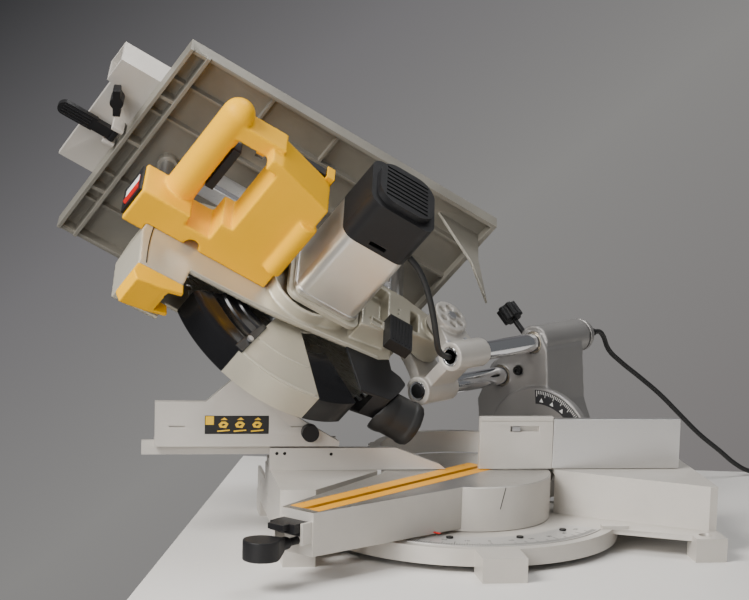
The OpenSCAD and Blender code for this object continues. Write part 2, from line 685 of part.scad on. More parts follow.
/* ---- upper table ---- */
module upper_table() color([0.66, 0.65, 0.62]) at_head() difference() {
  union() {
    span([top_x - top_w / 2, top_y0, top_z - top_t], [top_x + top_w / 2, top_y1, top_z]);
    // front channel
    span([top_x - top_w / 2, top_y0, top_z - 24], [top_x + top_w / 2, top_y0 + 5, top_z]);
    span([top_x - top_w / 2, top_y0 + 25, top_z - 24], [top_x + top_w / 2, top_y0 + 30, top_z]);
    for (x = [-168, -86, 6, 90, 172]) span([x, top_y0, top_z - 22], [x + 5, top_y0 + 30, top_z]);
    // side rims
    for (x = [top_x - top_w / 2, top_x + top_w / 2 - 6])
      span([x, top_y0, top_z - top_rim], [x + 6, top_y1, top_z]);
    span([top_x - top_w / 2, top_y1 - 6, top_z - top_rim], [top_x + top_w / 2, top_y1, top_z]);
    // long ribs
    for (x = [-110, -60, 60, 118]) span([x, top_y0, top_z - 14], [x + 4, top_y1, top_z]);
    for (y = [-430, -330, -230]) {
      span([-168, y, top_z - 12], [-58, y + 4, top_z]);
      span([60, y, top_z - 12], [175, y + 4, top_z]);
    }
    rod_z(top_z - 16, top_z, 0, -488, 14);
    rod_z(top_z - 16, top_z, 54, -154, 14);
    // hanging bracket at the back
    side_cut(140, 144) polygon([[-150, top_z - 4], [-84, top_z - 4], [-84, 232], [-70, 150], [-96, 220]]);
  }
  span([-30, -462, top_z - 3.2], [30, -118, top_z + 1]);
  span([-24, -456, top_z - 8], [24, -124, top_z + 1]);
  for (y = [-400, -310]) for (x = [-150, 75]) span([x, y, top_z - 8], [x + 34, y + 12, top_z + 1]);
}
module throat_plate() color([0.6, 0.6, 0.6]) at_head() difference() {
  span([-29.8, -461.8, top_z - 3.2], [29.8, -118.2, top_z]);
  span([-4, -452, top_z - 5], [4, -128, top_z + 1]);
}
module table_posts() color([0.7, 0.7, 0.72]) at_head() {
  rod_z(96, top_z - 16, 0, -488, 9);
  rod_z(110, top_z - 16, 54, -154, 9);
}
module rip_fence() color([0.72, 0.71, 0.68]) at_head() difference() {
  union() {
    span([60, -618, top_z + gap], [98, -100, top_z + 44]);
    span([-78, -612, top_z + gap], [98, -530, top_z + 8]);
    // ears and pin of the cam lever
    for (x = [-14, 11]) span([x, -580, cam_z - 8], [x + 5, -564, top_z + 1]);
    rod_x(-10, 12, -572, cam_z, 3 - fit);
  }
  span([64, -620, top_z + 5], [94, -90, top_z + 40]);
  rod_z(top_z - 1, top_z + 9, 54, -596, 4.05);
}
module fence_lever() color([0.07, 0.07, 0.07]) at_head() difference() {
  union() {
    rod_x(-8, 10, -572, cam_z, 5.6);
    span([-7, -645, cam_z - 5], [9, -576, cam_z + 4]);
    span([-9, -644, cam_z - 4], [11, -600, cam_z + 3]);
    rod_z(cam_z - 4, cam_z + 3, 1, -644, 10);
  }
  rod_x(-9, 11, -572, cam_z, 3);
}
module fence_lock() color([0.09, 0.09, 0.09]) at_head() translate([54, -596, 0]) {
  rod_z(262, top_z - 10, 0, 0, 9);
  rotate([0, 0, -30]) span([-20, -5, 262], [20, 5, top_z - 14]);
  rod_z(top_z - 12, top_z + 7, 0, 0, 4);
}

/* ---- mains cable ---- */
function to_world(p) = let (
    b = bevel_angle, m = mitre_angle,
    q = [p[0] * cos(b) - p[2] * sin(b), p[1], p[0] * sin(b) + p[2] * cos(b)])
  [tt_x + q[0] * cos(m) + q[1] * sin(m), tt_y - q[0] * sin(m) + q[1] * cos(m), table_h + q[2]];
relief_y0 = 308;
relief_y1 = 330;
exit_p = to_world([rail_x[1], relief_y1 + 0.2, rail_z]);
back = [sin(mitre_angle), cos(mitre_angle), 0];
lie = cord_r + 0.3;
// the cable meets the coil on its near left side
function by_coil(d) = [coil_x, coil_y, lie] + (coil_r + coil_w / 2 + d) * [cos(225), sin(225), 0];
route = [exit_p, exit_p + 4 * back, exit_p + 8 * back, exit_p + 18 * back - [0, 0, 4],
  [232, 271, 203], [255, 286, 183], [289, 305, 158],
  [325, 320, 130], [360, 332, 98], [395, 341, 66], [429, 347, 40], [456, 353, 19], [482, 360, 6],
  [508, 367, lie], by_coil(14), by_coil(7), by_coil(0.2)];
function spline(p0, p1, p2, p3, t) = 0.5 * ((2 * p1) + (p2 - p0) * t + (2 * p0 - 5 * p1 + 4 * p2 - p3) * t * t
  + (3 * p1 - p0 - 3 * p2 + p3) * t * t * t);
steps = 4;
last = len(route) - 1;
path = concat([for (i = [0:last - 1], s = [0:steps - 1])
    spline(route[max(i - 1, 0)], route[i], route[i + 1], route[min(i + 2, last)], s / steps)], [route[last]]);
function unit(v) = v / norm(v);
sides = 10;
// a round tube along a list of points
module sweep(line, r) {
  n = len(line);
  function ring(i) = let (
      t = unit(line[min(i + 1, n - 1)] - line[max(i - 1, 0)]),
      u = unit(cross(t, [0, 0, 1])),
      w = cross(u, t))
    [for (k = [0:sides - 1]) line[i] + r * (cos(360 * k / sides) * u + sin(360 * k / sides) * w)];
  points = [for (i = [0:n - 1]) each ring(i)];
  walls = [for (i = [0:n - 2], k = [0:sides - 1]) let (a = i * sides + k, b = i * sides + (k + 1) % sides)
      [a, b, b + sides, a + sides]];
  first = [[for (k = [sides - 1:-1:0]) k]];
  end = [[for (k = [0:sides - 1]) (n - 1) * sides + k]];
  polyhedron(points, concat(walls, first, end), convexity = 10);
}
module cord() color([0.06, 0.06, 0.06]) sweep(path, cord_r);
// lead from the motor cap to the open front end of the right rail
lead = [[178, -217.2, 96], [176, -196, 88], [150, -160, 64],
  [114, -128, 50], [94, -111, 61], [88, -90, 78.6]];
lead_path = concat([for (i = [0:4], s = [0:3])
    spline(lead[max(i - 1, 0)], lead[i], lead[i + 1], lead[min(i + 2, 5)], s / 4)], [lead[5]]);
module motor_lead() color([0.06, 0.06, 0.06]) at_head() sweep(lead_path, 4);
module cord_relief() color([0.07, 0.07, 0.07]) at_yoke() difference() {
  union() {
    rod_y(relief_y0, relief_y1, rail_x[1], rail_z, 6);
    rod_y(relief_y0 - 4, relief_y0 + 8, rail_x[1], rail_z, 9);
  }
  translate([rail_x[1], rail_y1 + 7, rail_z]) sphere(r = 23);
}
module cord_coil() color([0.06, 0.06, 0.06]) translate([coil_x, coil_y, 0]) rotate_extrude()
  translate([coil_r - coil_w / 2, 0.1]) square([coil_w, coil_h]);
module plug() color([0.07, 0.07, 0.07]) translate([coil_x, coil_y, 0]) {
  span([-14, coil_r + coil_w / 2, 0.1], [14, 94, 28]);
  for (x = [-6, 6]) rod_y(94, 114, x, 14, 2.4);
}

base_casting();
mitre_scale();
base_screws();
fence_casting();
right_fence();
right_fence_end();
fence_stop();
sliding_fence();
fence_label();
fence_knob();
turntable();
kerf_plates();
kerf_screws();
mitre_pointer();
mitre_latch();
mitre_knob();
bevel_bolt();
yoke();
bevel_scale();
yoke_screw();
rails();
rail_caps();
rail_knob();
bevel_lever();
carriage();
rail_bushes();
pivot_shaft();
chop_spring();
head_casting();
nose_insert();
gear_cover();
motor_housing();
motor_cap();
stator();
rotor();
bearings();
arbor();
blade();
blade_flanges();
lower_guard();
guard_ends();
chip_chute();
dust_spout();
spring_box();
motor_lead();
handle();
trigger();
rocker_frame();
rocker();
push_stick();
upper_table();
throat_plate();
table_posts();
rip_fence();
fence_lever();
fence_lock();
cord_relief();
cord();
cord_coil();
plug();
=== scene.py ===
import bpy
import bmesh
import json
from math import cos, radians, sin
from mathutils import Matrix, Vector


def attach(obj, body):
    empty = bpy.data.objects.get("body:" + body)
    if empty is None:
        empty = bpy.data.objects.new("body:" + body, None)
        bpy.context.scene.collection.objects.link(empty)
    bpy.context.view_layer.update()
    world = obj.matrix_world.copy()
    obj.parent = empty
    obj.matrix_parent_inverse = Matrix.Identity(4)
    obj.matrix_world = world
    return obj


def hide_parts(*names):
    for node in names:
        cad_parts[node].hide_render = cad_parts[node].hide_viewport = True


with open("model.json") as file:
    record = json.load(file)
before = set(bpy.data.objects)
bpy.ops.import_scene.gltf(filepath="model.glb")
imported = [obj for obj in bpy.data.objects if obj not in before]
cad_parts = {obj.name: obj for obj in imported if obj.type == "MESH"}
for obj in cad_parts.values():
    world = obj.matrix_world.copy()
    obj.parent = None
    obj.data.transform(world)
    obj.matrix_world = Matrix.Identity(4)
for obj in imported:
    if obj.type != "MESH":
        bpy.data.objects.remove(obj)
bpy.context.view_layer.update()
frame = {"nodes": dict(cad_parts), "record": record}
scene = bpy.context.scene
nodes = frame["nodes"]
OWNER = {node: body for body, owned in frame["record"]["behaviour"]["bodies"].items() for node in owned}

# ---------------------------------------------------------------- frames
# Shapes are drawn in millimetres, inside the world, the tilting yoke or the saw head,
# each as it stands at rest. MM then brings them to metres.
MITRE = radians(47.5)
BEVEL = radians(45.4)
CHOP = radians(42.9)
TURN_CENTRE = Vector((-25, 2, 0))
SURFACE_Z = 86.6
PIVOT = (0, 33, 174.5)
HEAD_ORIGIN = (0, 94.6, -150.3)
WORLD = Matrix.Identity(4)
TABLE = Matrix.Translation(TURN_CENTRE) @ Matrix.Rotation(-MITRE, 4, "Z")
YOKE = TABLE @ Matrix.Translation((0, 0, SURFACE_Z)) @ Matrix.Rotation(-BEVEL, 4, "Y")
HEAD = YOKE @ Matrix.Translation(PIVOT) @ Matrix.Rotation(-CHOP, 4, "X") @ Matrix.Translation(HEAD_ORIGIN)
MM = Matrix.Scale(0.001, 4)


# ---------------------------------------------------------------- materials
def shader_node(tree, kind, links=None, **values):
    """a new node: values sets its inputs, and links feeds them from other nodes."""
    node = tree.nodes.new("ShaderNode" + kind)
    for key, value in values.items():
        node.inputs[key].default_value = value
    for key, source in (links or {}).items():
        tree.links.new(source, node.inputs[key])
    return node


MAT = {}


def material(name, color, rough=0.5, metal=0.0, bump=0.0, grain=900.0, wear=0.0, brush=None, coat=0.0,
             specular=0.5):
    """a finish whose fine grain shows in its bump and roughness. wear mottles the colour;
    brush is a (rotation, scale) that draws the grain out along one direction."""
    mat = bpy.data.materials.new(name)
    mat.use_nodes = True
    tree = mat.node_tree
    shader = tree.nodes["Principled BSDF"]
    shader.inputs["Base Color"].default_value = (*color, 1)
    shader.inputs["Metallic"].default_value = metal
    shader.inputs["Coat Weight"].default_value = coat
    shader.inputs["Coat Roughness"].default_value = 0.15
    shader.inputs["Specular IOR Level"].default_value = specular
    coords = shader_node(tree, "TexCoord")
    mapping = shader_node(tree, "Mapping", {"Vector": coords.outputs["Object"]})
    if brush:
        mapping.inputs["Rotation"].default_value = brush[0]
        mapping.inputs["Scale"].default_value = brush[1]
    noise = shader_node(tree, "TexNoise", {"Vector": mapping.outputs["Vector"]}, Scale=grain, Detail=4)
    if bump:
        relief = shader_node(tree, "Bump", {"Height": noise.outputs["Fac"]}, Strength=bump, Distance=0.0004)
        tree.links.new(relief.outputs["Normal"], shader.inputs["Normal"])
    spread = 0.07
    gloss = shader_node(tree, "MapRange", {"Value": noise.outputs["Fac"]})
    gloss.inputs["To Min"].default_value = max(rough - spread, 0.02)
    gloss.inputs["To Max"].default_value = rough + spread
    tree.links.new(gloss.outputs["Result"], shader.inputs["Roughness"])
    if wear:
        clouds = shader_node(tree, "TexNoise", {"Vector": coords.outputs["Object"]}, Scale=14, Detail=6)
        tones = shader_node(tree, "ValToRGB", {"Fac": clouds.outputs["Fac"]})
        dark, light = tones.color_ramp.elements
        dark.position = 0.3
        dark.color = (*[c * (1 - wear) for c in color], 1)
        light.position = 0.7
        light.color = (*[min(c * (1 + wear), 1) for c in color], 1)
        tree.links.new(tones.outputs["Color"], shader.inputs["Base Color"])
    MAT[name] = mat
    return mat


# castings and painted metal
material("cast_light", (0.56, 0.53, 0.485), 0.40, 0.3, 0.22, 1500, 0.05)
material("cast_grey", (0.30, 0.29, 0.28), 0.40, 0.55, 0.22, 1500, 0.05)
material("guard_cream", (0.53, 0.495, 0.40), 0.36, 0.35, 0.12, 1300, 0.05)
material("table_alu", (0.25, 0.235, 0.20), 0.40, 0.3, 0.3, 1200, 0.14)
# bare metal
material("machined", (0.78, 0.77, 0.76), 0.30, 1.0, 0.10, 60, brush=((0, 0, 0), (1, 1, 30)))
material("turned", (0.70, 0.69, 0.67), 0.30, 1.0, 0.12, 60, brush=((0, 0, MITRE), (1, 30, 1)))
material("motor_aluminium", (0.70, 0.68, 0.63), 0.34, 0.75, 0.0, 50, 0.03)
material("chrome_rail", (0.86, 0.87, 0.89), 0.10, 1.0)
material("steel", (0.50, 0.50, 0.51), 0.34, 1.0, 0.1, 700)
material("blade_steel", (0.68, 0.69, 0.70), 0.28, 1.0, 0.08, 90, brush=((0, 0, 0), (1, 20, 1)))
material("bronze", (0.56, 0.50, 0.40), 0.35, 1.0)
material("windings", (0.40, 0.18, 0.07), 0.45, 0.6)
material("dark_screw", (0.03, 0.03, 0.03), 0.35, 0.8, 0.1, 800)
material("scale", (0.56, 0.55, 0.53), 0.35, 0.5, 0.05, 800)
# plastic, rubber and print
material("yellow", (0.92, 0.47, 0.0), 0.42, bump=0.10, grain=1600, wear=0.02, specular=0.12)
material("amber", (0.80, 0.36, 0.01), 0.40, bump=0.06, wear=0.05, coat=0.1, specular=0.4)
material("black", (0.010, 0.010, 0.011), 0.44, bump=0.25, grain=1800, specular=0.3)
material("black_gloss", (0.008, 0.008, 0.009), 0.22, bump=0.05, coat=0.15, specular=0.35)
material("rubber", (0.012, 0.012, 0.012), 0.55, bump=0.2, grain=1400)
material("scale_dark", (0.025, 0.025, 0.028), 0.4)
material("ink", (0.01, 0.01, 0.01), 0.5)
material("white", (0.80, 0.80, 0.78), 0.45)
material("red", (0.55, 0.012, 0.008), 0.3, coat=0.2)
material("label_yellow", (0.85, 0.52, 0.01), 0.4)

# each CAD node's finish
FINISH = {
    "base_casting": "cast_light", "mitre_scale": "scale", "base_screws": "dark_screw",
    "fence_casting": "cast_light", "right_fence": "machined", "right_fence_end": "cast_light",
    "fence_stop": "steel", "sliding_fence": "cast_light", "fence_label": "ink", "fence_knob": "black",
    "turntable": "cast_light", "kerf_plates": "amber", "kerf_screws": "steel", "mitre_pointer": "red",
    "mitre_latch": "black", "mitre_knob": "black", "bevel_bolt": "steel", "yoke": "cast_grey",
    "bevel_scale": "scale_dark", "yoke_screw": "dark_screw", "rails": "chrome_rail",
    "rail_caps": "cast_grey", "rail_knob": "black", "bevel_lever": "black", "carriage": "cast_light",
    "rail_bushes": "bronze", "pivot_shaft": "steel", "chop_spring": "steel", "head_casting": "guard_cream",
    "nose_insert": "yellow", "gear_cover": "guard_cream", "motor_housing": "motor_aluminium",
    "motor_cap": "black", "stator": "windings", "rotor": "windings", "bearings": "steel", "arbor": "steel",
    "blade": "blade_steel", "blade_flanges": "steel", "lower_guard": "guard_cream",
    "guard_ends": "black_gloss", "chip_chute": "black", "dust_spout": "rubber", "spring_box": "black",
    "motor_lead": "rubber", "handle": "yellow", "trigger": "black", "rocker_frame": "black",
    "rocker": "red", "push_stick": "black", "upper_table": "table_alu", "throat_plate": "machined",
    "table_posts": "steel", "rip_fence": "cast_light", "fence_lever": "black", "fence_lock": "black",
    "cord_relief": "rubber", "cord": "rubber", "cord_coil": "rubber", "plug": "black",
}

# ---------------------------------------------------------------- shapes, in mm
# turns a shape drawn along Z so that it lies along another axis, its X and Y becoming
# the two other coordinates in order
AXES = {"X": Matrix(((0, 0, 1, 0), (1, 0, 0, 0), (0, 1, 0, 0), (0, 0, 0, 1))),
        "Y": Matrix(((1, 0, 0, 0), (0, 0, 1, 0), (0, 1, 0, 0), (0, 0, 0, 1))),
        "Z": Matrix.Identity(4)}


def new_object(name, data):
    """an object of that data, in the scene."""
    o = bpy.data.objects.new(name, data)
    scene.collection.objects.link(o)
    return o


def made(bm):
    bmesh.ops.recalc_face_normals(bm, faces=bm.faces)
    mesh = bpy.data.meshes.new("shape")
    bm.to_mesh(mesh)
    bm.free()
    return new_object("shape", mesh)


def evaluated(o):
    """the object's mesh with its modifiers or curve settings applied."""
    bpy.context.view_layer.update()
    return bpy.data.meshes.new_from_object(o.evaluated_get(bpy.context.evaluated_depsgraph_get()))


def box(low, high):
    bm = bmesh.new()
    bmesh.ops.create_cube(bm, size=1)
    middle = [(p + q) / 2 for p, q in zip(low, high)]
    size = [abs(q - p) for p, q in zip(low, high)]
    bm.transform(Matrix.Translation(middle) @ Matrix.Diagonal((*size, 1)))
    return made(bm)


def rod(axis, centre, r, start, end, sides=64):
    bm = bmesh.new()
    bmesh.ops.create_cone(bm, cap_ends=True, segments=sides, radius1=r, radius2=r, depth=end - start)
    bm.transform(AXES[axis] @ Matrix.Translation((*centre, (start + end) / 2)))
    return made(bm)


def close_sides(bm, low, high):
    """the faces between two rings of vertices of the same length."""
    for i in range(len(low)):
        j = (i + 1) % len(low)
        bm.faces.new((low[i], low[j], high[j], high[i]))


def prism(axis, outline, start, end):
    bm = bmesh.new()
    low = [bm.verts.new((*p, start)) for p in outline]
    high = [bm.verts.new((*p, end)) for p in outline]
    bm.faces.new(low)
    bm.faces.new(high)
    close_sides(bm, low, high)
    bm.transform(AXES[axis])
    return made(bm)


def lathe(axis, centre, profile, steps=72, a0=0.0, a1=360.0):
    """a closed outline of (radius, along) points, turned about the axis from a0 to a1 degrees."""
    bm = bmesh.new()
    full = a1 - a0 == 360
    count = steps if full else steps + 1
    rings = []
    for i in range(count):
        a = radians(a0 + (a1 - a0) * i / steps)
        rings.append([bm.verts.new((centre[0] + r * cos(a), centre[1] + r * sin(a), t)) for r, t in profile])
    for i in range(steps):
        close_sides(bm, rings[i], rings[(i + 1) % count])
    if not full:
        bm.faces.new(rings[0])
        bm.faces.new(rings[-1])
    bmesh.ops.remove_doubles(bm, verts=bm.verts, dist=1e-4)
    bm.transform(AXES[axis])
    return made(bm)


def rounded(w, h, r, centre, steps=8):
    """a rectangle w by h with corners of radius r."""
    outline = []
    for k, (sx, sy) in enumerate(((1, 1), (-1, 1), (-1, -1), (1, -1))):
        for i in range(steps + 1):
            a = radians(90 * k + 90 * i / steps)
            outline.append((centre[0] + sx * (w / 2 - r) + r * cos(a),
                            centre[1] + sy * (h / 2 - r) + r * sin(a)))
    return outline


def drop(objects):
    for o in objects:
        mesh = o.data
        bpy.data.objects.remove(o)
        bpy.data.meshes.remove(mesh)


def solid(adds, cuts):
    """the adds in one solid, less the cuts."""
    base = adds[0]
    tools = adds[1:] + cuts
    for k, o in enumerate(tools):
        m = base.modifiers.new("b", "BOOLEAN")
        m.operation = "UNION" if k < len(adds) - 1 else "DIFFERENCE"
        m.solver = "MANIFOLD"
        m.object = o
    mesh = evaluated(base)
    base.modifiers.clear()
    old = base.data
    base.data = mesh
    bpy.data.meshes.remove(old)
    drop(tools)
    return base


def joined(objects):
    """several separate shapes as one object."""
    bm = bmesh.new()
    for o in objects:
        bm.from_mesh(o.data)
    drop(objects)
    return made(bm)


# ---------------------------------------------------------------- pieces
done = set()


def show(o, name, body, mat, *replaced):
    """a shape already in metres and in place: named, painted and fixed to its body."""
    o.name = name
    o.data.name = name
    o.data.materials.clear()
    o.data.materials.append(MAT[mat])
    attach(o, body)
    if replaced:
        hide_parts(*replaced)
        done.update(replaced)
    return o


def place(o, name, at, body, mat, *replaced):
    """a shape in mm, brought from the frame it was drawn in."""
    o.data.transform(MM @ at)
    return show(o, name, body, mat, *replaced)


def cad_copy(node, mat):
    """the CAD node's own shape as a new piece that stands for it."""
    return show(new_object(node, nodes[node].data.copy()), node + "_skin", OWNER[node], mat, node)


def crisp(o, w=0.5, segments=2):
    """a machined or pressed piece: flat faces, and edges rounded by w."""
    bm = bmesh.new()
    bm.from_mesh(o.data)
    bmesh.ops.remove_doubles(bm, verts=bm.verts, dist=1e-7)
    bmesh.ops.dissolve_limit(bm, angle_limit=radians(1.0), verts=bm.verts, edges=bm.edges)
    bm.to_mesh(o.data)
    bm.free()
    o.data.shade_smooth()
    o.data.set_sharp_from_angle(angle=radians(40))
    if w:
        m = o.modifiers.new("edge", "BEVEL")
        m.width = w * 0.001
        m.segments = segments
        m.limit_method = "ANGLE"
        m.angle_limit = radians(32)
        m.harden_normals = True
        m.use_clamp_overlap = True
    return o


def moulded(o, voxel, rounds):
    """a cast or moulded piece: every edge softly rounded."""
    m = o.modifiers.new("skin", "REMESH")
    m.mode = "VOXEL"
    m.voxel_size = voxel * 0.001
    m.use_smooth_shade = True
    s = o.modifiers.new("soft", "SMOOTH")
    s.factor = 0.5
    s.iterations = rounds
    return o


def round_curve(name, r, smoothness, mat):
    cu = bpy.data.curves.new(name, "CURVE")
    cu.dimensions = "3D"
    cu.bevel_depth = r * 0.001
    cu.bevel_resolution = smoothness
    cu.use_fill_caps = True
    cu.materials.append(MAT[mat])
    return cu


def tube(name, points, r, at, body, mat, *replaced):
    cu = round_curve(name, r, 6, mat)
    spline = cu.splines.new("NURBS")
    spline.points.add(len(points) - 1)
    for p, q in zip(spline.points, points):
        p.co = (*(MM @ at @ Vector(q)), 1)
    spline.use_endpoint_u = True
    spline.order_u = 4
    cu.resolution_u = 6
    o = new_object(name, cu)
    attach(o, body)
    if replaced:
        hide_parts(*replaced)
        done.update(replaced)
    return o


def marks(name, at, body, mat, shapes, lift):
    """thin printed shapes: each a list of 3-D corners, thickened by lift."""
    bm = bmesh.new()
    for corners in shapes:
        low = [bm.verts.new(p) for p in corners]
        high = [bm.verts.new(Vector(p) + Vector(lift)) for p in corners]
        bm.faces.new(low)
        bm.faces.new(high)
        close_sides(bm, low, high)
    return place(made(bm), name, at, body, mat)


def number(digits, size, at):
    """digits as a thin mesh, in mm."""
    cu = bpy.data.curves.new("digits", "FONT")
    cu.body = digits
    cu.size = size
    cu.extrude = 0.05
    cu.align_x = "CENTER"
    o = new_object("digits", cu)
    mesh = evaluated(o)
    bpy.data.objects.remove(o)
    bpy.data.curves.remove(cu)
    mesh.transform(at)
    return new_object("digits", mesh)


# ---- cast and moulded pieces: voxel size in mm and rounds of smoothing
MOULDED = {"handle": (1.4, 14), "head_casting": (1.5, 5), "yoke": (1.5, 6), "rail_caps": (1.2, 5),
           "carriage": (1.2, 5), "nose_insert": (1.2, 5), "dust_spout": (1.3, 10), "mitre_knob": (1.0, 10),
           "push_stick": (0.9, 5), "fence_lock": (0.8, 5), "trigger": (0.7, 4), "rail_knob": (0.8, 5)}
for node, (voxel, rounds) in MOULDED.items():
    moulded(cad_copy(node, FINISH[node]), voxel, rounds)


# ---- mitre scale on the skirt of the base: a tick every degree, a number every ten
SCALE_TOP = 30.72
TICK_END = 184.5
TICK_HALF = 0.14


def on_skirt(a, r):
    return TURN_CENTRE + Vector((r * sin(radians(a)), -r * cos(radians(a)), SCALE_TOP))


def tick(point, a, r0, r1, half):
    """the corners of one tick from radius r0 to r1."""
    return [point(a - half, r0), point(a + half, r0), point(a + half, r1), point(a - half, r1)]


def tick_start(a):
    if a % 15 == 0:
        return 168
    return 172 if a % 5 == 0 else 177


marks("scale_ticks", WORLD, "base", "ink",
      [tick(on_skirt, a, tick_start(a), TICK_END, TICK_HALF) for a in range(-54, 55)], (0, 0, 0.1))
digits = [number(str(abs(a)), 7.5, Matrix.Translation(on_skirt(a, 163)) @ Matrix.Rotation(radians(a), 4, "Z"))
          for a in range(-50, 51, 10)]
place(joined(digits), "scale_numbers", WORLD, "base", "ink")


# ---- bevel scale on the yoke: a tick every two degrees, and four arrowheads inside them
def on_flange(a, r):
    return (r * sin(radians(a)), 163.62, r * cos(radians(a)))


flange_marks = [tick(on_flange, a, 76 if a % 10 == 2 else 79.5, 84, 0.3) for a in range(42, 95, 2)]
for a in (48, 62, 76, 90):
    flange_marks.append([on_flange(a, 74.5), on_flange(a + 2.6, 69), on_flange(a - 2.6, 69)])
marks("bevel_ticks", YOKE, "yoke", "white", flange_marks, (0, 0.07, 0))


# ---- turntable: turned top, and an index line down the wall
WALL_R = 110.1
top = crisp(cad_copy("turntable", "cast_light"), 0.8)
top.data.materials.append(MAT["turned"])
for face in top.data.polygons:
    if face.normal.z > 0.99 and face.center.z > SURFACE_Z / 1000 - 0.0011:
        face.material_index = 1


def on_wall(a, z):
    return TURN_CENTRE + Vector((WALL_R * cos(radians(a)), WALL_R * sin(radians(a)), z))


index = [on_wall(-73.9, 85.5), on_wall(-75.7, 72), on_wall(-77.5, 58)]
tube("index_line", index, 0.45, WORLD, "turntable", "ink")

# ---- motor: cap with a raised, louvred end and a notch for the lead; bright band at the other end
MOTOR = (-266, 126)
LOUVRE_HALF = 1.7
louvres = [box((224, MOTOR[0] - 31, z - LOUVRE_HALF), (246, MOTOR[0] + 31, z + LOUVRE_HALF))
           for z in range(MOTOR[1] - 28, MOTOR[1] + 29, 8)]
cap_walls = prism("X", rounded(94, 94, 18, MOTOR), 170, 234)
cap_end = prism("X", rounded(80, 80, 26, MOTOR), 233, 243)
cap_hollow = prism("X", rounded(84, 84, 14, MOTOR), 169, 226)
lead_notch = box((176, MOTOR[0] - 12, 70), (182, MOTOR[0] + 12, 96))
cap = solid([cap_walls, cap_end], [cap_hollow, lead_notch] + louvres)
crisp(place(cap, "motor_cap_skin", HEAD, "head", "black", "motor_cap"), 2.2, 3)
crisp(place(prism("X", rounded(95, 95, 17, MOTOR), 60, 66), "motor_band", HEAD, "head", "machined"), 0.6)

# ---- swinging guard, by angles about the blade's centre
BLADE = (-290, 113)
CREAM = (-74, -113)
RIB_X = 19.6


def polar(x, r, a):
    return (x, BLADE[0] + r * cos(radians(a)), BLADE[1] + r * sin(radians(a)))


def guard_rib(name, r, thick):
    points = [polar(RIB_X, r, CREAM[0] + (CREAM[1] - CREAM[0]) * i / 10) for i in range(11)]
    tube(name, points, thick, HEAD, "guard", "guard_cream")


def guard_end(a0, a1, side):
    """a black end of the guard: a shell open towards the hub, with the given outer side."""
    shell = [(163, 17.5), (163, -20), (84, -20), (84, -17), (159, -17), (159, 17), (84, 17)]
    return lathe("X", BLADE, side + shell, 24, a0, a1)


guard_rib("guard_rim_rib", 158.5, 2.4)
guard_rib("guard_mid_rib", 112, 1.9)
RIDGED = [(84, 20), (92, 20), (93.5, 22), (97, 22), (98.5, 20), (110, 20), (111.5, 22.3), (116, 22.3),
          (118, 20), (131, 20), (133, 21.6), (137, 21.8), (140, 20.4), (150, 21.8), (159, 20.6)]
FLAT = [(84, 20), (160, 20)]
ends = joined([guard_end(-150, -115.2, RIDGED), guard_end(-71.8, -50, FLAT)])
crisp(place(ends, "guard_ends_skin", HEAD, "guard", "black_gloss", "guard_ends"), 0)
strap = [polar(0, r, a)[1:] for r, a in ((86, -113.5), (162, -113.5), (162, -118), (86, -118.5))]
crisp(place(prism("X", strap, 19, 22.5), "guard_strap", HEAD, "guard", "black_gloss"), 0.8)
bolt = rod("X", polar(0, 132, -115.5)[1:], 4.6, 22, 26, 6)
crisp(place(bolt, "guard_bolt", HEAD, "guard", "steel"))

# ---- casing: bright bead along its lower edge, a thin black line of painted shade in the groove round the nose, two box frames by the motor
bead = [(-446, 47), (-420, 47.5), (-334, 51), (-280, 59.5), (-220, 69), (-166, 77.5)]
tube("casing_bead", [(34.2, y, z) for y, z in bead], 1.7, HEAD, "head", "guard_cream")
# painted shade: the groove round the nose is drawn as a thin black ink tube, standing in for the shade inside
# the groove
groove_shade_path = [(-497, 132), (-506, 100), (-509, 60), (-506, 16)]
tube("nose_groove_painted_shade", [(34.0, y, z) for y, z in groove_shade_path], 0.8, HEAD, "head", "ink")
FRAME_L = 20
FRAME_WALL = 2.5
frames = []
for y, z, h in ((-198, 92, 16), (-176, 96, 13)):
    hollow = box((62, y + FRAME_WALL, z + FRAME_WALL), (68, y + FRAME_L - FRAME_WALL, z + h - FRAME_WALL))
    frames.append(solid([box((60, y, z), (66, y + FRAME_L, z + h))], [hollow]))
crisp(place(joined(frames), "arm_frames", HEAD, "head", "guard_cream"), 0.4)

# ---- handle: white half of the rocker, and the clips of the push stick
crisp(place(box((33, -549.35, 118.5), (65, -548.8, 131.6)), "rocker_white", HEAD, "rocker", "white"), 0)
for k, y in enumerate((-444, -352)):
    stick_gap = box((169.5, y - 1, 153), (186.5, y + 12, 172))
    clip = solid([box((166.5, y, 148), (189.5, y + 11, 170.5))], [stick_gap])
    crisp(place(clip, f"clip_{k}", HEAD, "head", "yellow"), 0.8)

# ---- carriage: clamp bolts, the nut of the pivot and the plug of the lower rail
bolts = [rod("Z", (x, y), 4, 136, 142.5, 24) for x in (16, 88) for y in (4, 40)]
crisp(place(joined(bolts), "carriage_bolts", YOKE, "carriage", "steel"))
crisp(place(rod("X", PIVOT[1:], 7, 94, 101, 6), "pivot_nut", YOKE, "carriage", "steel"), 0.6)
crisp(place(rod("Y", (16, 119), 9.3, -14, -8, 40), "rail_plug", YOKE, "carriage", "black"), 0.6)

# ---- ridges on the spring box and the cam lever
ridges = [box((79.5, y, 64), (81, y + 1.6, 108)) for y in range(-174, -145, 5)]
place(joined(ridges), "spring_box_ridges", HEAD, "head", "black")
for k in range(4):
    ridge = [(-5.5 + 4.3 * k, y, 273.2) for y in (-606, -625, -648)]
    tube(f"lever_ridge_{k}", ridge, 1.3, HEAD, "fence_lever", "black_gloss")


# ---- decal on the sliding fence: plain shapes, no words
def on_decal(points, depth=0.06):
    return [(x, depth, z) for x, z in points]


def blob(x, rx, rz, angles, depth=0.06):
    return on_decal([(x + rx * cos(t), 146 + rz * sin(t)) for t in angles], depth)


